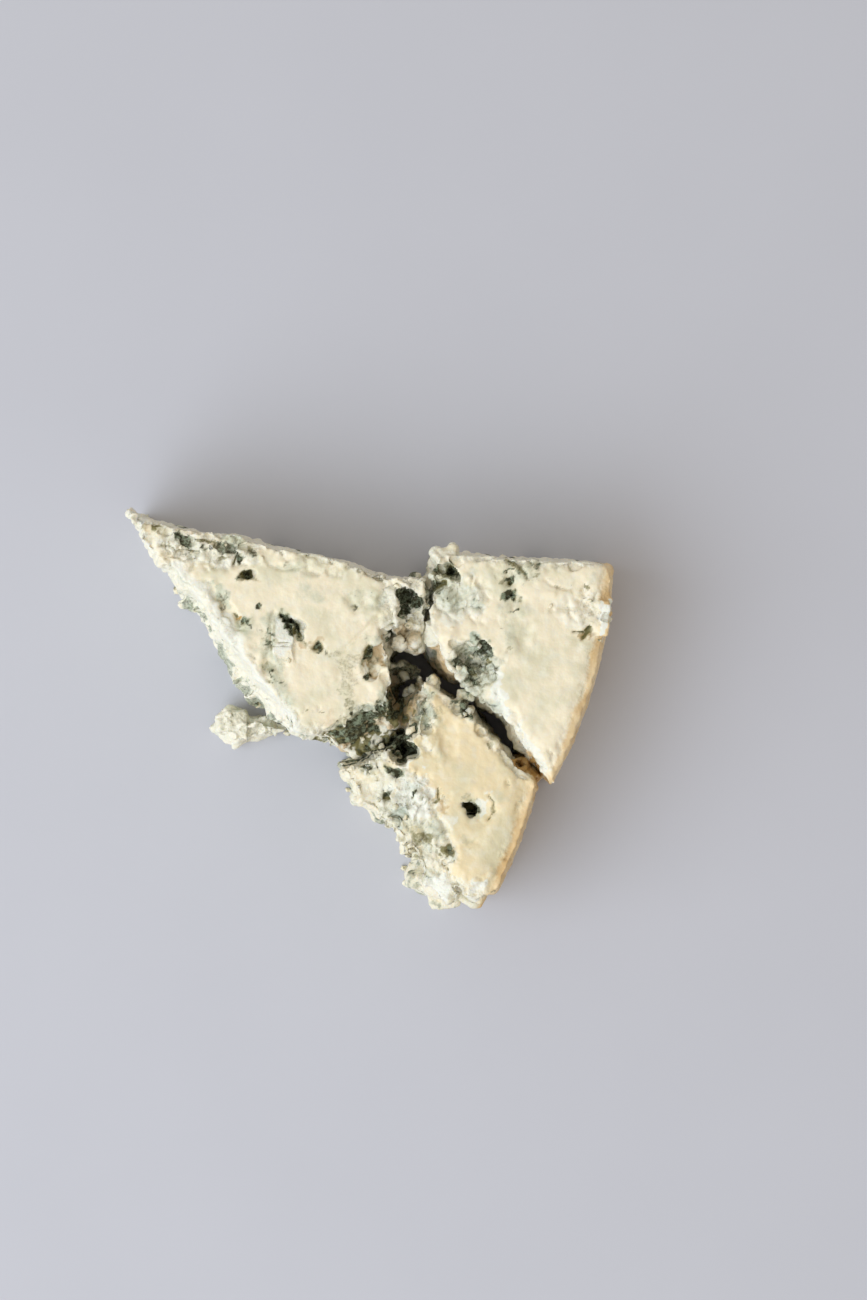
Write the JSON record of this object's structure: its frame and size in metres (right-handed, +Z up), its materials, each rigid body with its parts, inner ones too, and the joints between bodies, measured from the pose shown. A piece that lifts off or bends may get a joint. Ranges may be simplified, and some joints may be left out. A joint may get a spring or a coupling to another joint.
{
  "type": "blue cheese wedge",
  "caption": "Low wedge of crumbly blue-veined cheese, broken across and along its back into chunks that still keep the wedge's outline, with a crumb beside it.",
  "frame": {"origin": "middle of the part's box, on the surface that it rests on", "axes": "+X from the wedge's tip towards its rind, +Y towards the side with the larger heel chunk, +Z up"},
  "size_m": [0.1022, 0.0782, 0.0327],
  "materials": {
    "tip_paste": "soft creamy paste with blue-green mould veins",
    "left_heel_paste": "soft creamy paste with blue-green mould veins and a thin tan rind",
    "right_heel_paste": "yellower crumbling paste with olive mould and a thin tan rind",
    "crumb_paste": "mouldy greenish paste"
  },
  "bodies": {
    "root": {"tip_chunk": "tip_paste", "left_heel_chunk": "left_heel_paste", "right_heel_chunk": "right_heel_paste", "side_crumb": "crumb_paste"}
  },
  "joints": []
}
